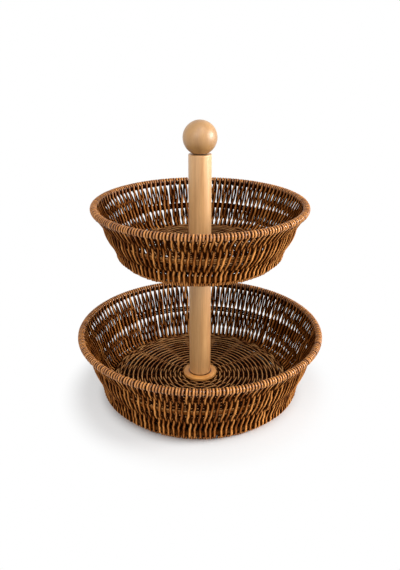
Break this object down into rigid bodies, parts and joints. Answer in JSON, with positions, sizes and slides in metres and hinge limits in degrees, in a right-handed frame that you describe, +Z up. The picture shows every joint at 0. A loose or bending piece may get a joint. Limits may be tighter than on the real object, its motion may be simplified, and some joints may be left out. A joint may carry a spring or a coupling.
{
  "type": "tiered serving basket",
  "caption": "Stacked round wicker serving baskets with flared open-weave walls, held on a wooden centre pole with a ball finial.",
  "frame": {"origin": "centre of the lower basket's bottom edge, on the surface that it stands on", "axes": "+Z up along the pole; the view of the picture looks along +Y, with +X to the right"},
  "size_m": [0.315, 0.315, 0.3554],
  "materials": {
    "wicker_strand": "stained split willow strands, satin lacquer, brown with lighter and darker stretches",
    "wicker_rod": "dark stained round willow rods, satin lacquer",
    "wicker_rim": "honey brown willow strand wound side by side, glossy lacquer",
    "wicker_floor": "stained willow weavers over spokes, satin lacquer",
    "pole_wood": "clear lacquered pale hardwood dowel, fine straight grain",
    "disc_wood": "clear lacquered pale hardwood disc",
    "ball_wood": "clear lacquered turned hardwood ball",
    "brass": "turned brass threaded insert",
    "steel": "zinc plated steel",
    "fibre": "matt dark fibre washer"
  },
  "bodies": {
    "stand": {"lower_outer_strands": "wicker_strand", "lower_inner_strands": "wicker_strand", "lower_middle_rod_1": "wicker_rod", "lower_middle_rod_2": "wicker_rod", "lower_middle_rod_3": "wicker_rod", "lower_base_hoop": "wicker_rod", "lower_rim_core": "wicker_rod", "lower_rim_wrap": "wicker_rim", "lower_floor_spokes": "wicker_floor", "lower_floor_weave": "wicker_floor", "lower_floor_border": "wicker_floor", "lower_floor_disc": "disc_wood", "lower_under_disc": "disc_wood", "upper_outer_strands": "wicker_strand", "upper_inner_strands": "wicker_strand", "upper_middle_rod_1": "wicker_rod", "upper_middle_rod_2": "wicker_rod", "upper_middle_rod_3": "wicker_rod", "upper_base_hoop": "wicker_rod", "upper_rim_core": "wicker_rod", "upper_rim_wrap": "wicker_rim", "upper_floor_spokes": "wicker_floor", "upper_floor_weave": "wicker_floor", "upper_floor_border": "wicker_floor", "upper_floor_disc": "disc_wood", "upper_under_disc": "disc_wood", "lower_pole": "pole_wood", "lower_pole_bottom_insert": "brass", "lower_pole_top_insert": "brass", "upper_pole": "pole_wood", "upper_pole_bottom_insert": "brass", "upper_pole_top_insert": "brass", "base_washer": "steel", "base_screw": "steel", "tier_stud": "steel", "finial_stud": "steel"},
    "washer": {"finial_washer": "fibre"},
    "finial": {"finial_ball": "ball_wood", "finial_insert": "brass"}
  },
  "joints": [
    {"name": "finial_lift", "type": "slide", "parent": "stand", "child": "washer", "axis": [0, 0, 1], "range_m": [0, 0.01]},
    {"name": "finial_unscrew", "type": "hinge", "parent": "washer", "child": "finial", "pos_m": [0, 0, 0.317], "axis": [0, 0, 1], "range_deg": [0, 3600]}
  ],
  "couplings": [
    {"joint": "finial_unscrew", "follows": "finial_lift", "rad_per_m": 6283.2}
  ]
}
